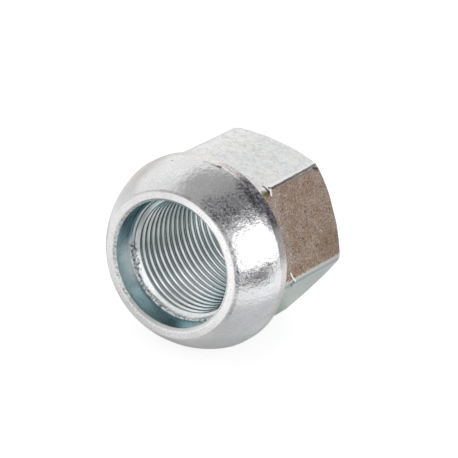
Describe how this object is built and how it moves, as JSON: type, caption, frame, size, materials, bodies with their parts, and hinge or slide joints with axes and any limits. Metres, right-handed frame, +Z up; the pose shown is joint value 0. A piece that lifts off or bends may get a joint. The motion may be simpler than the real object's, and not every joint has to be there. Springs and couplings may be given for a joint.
{
  "type": "lug nut",
  "caption": "Open-ended ball-seat lug nut: a hexagon with a round collar, a spherical seat and a counterbored threaded bore.",
  "frame": {"origin": "bottom centre of the bounding box of the nut lying at rest", "axes": "+Z up; the bore axis runs from the seat end at -Y to the hexagon's end at +Y and dips 7.39 degrees below the horizontal, because the nut lies on the rim of its collar and the end of one flat; +X completes the frame, across the bore"},
  "size_m": [0.0352, 0.033, 0.0351],
  "materials": {
    "zinc_plate": "bright zinc plating with a faint blue tone, fine mottling and small handling marks"
  },
  "bodies": {
    "root": {"lug_nut": "zinc_plate"}
  },
  "joints": []
}
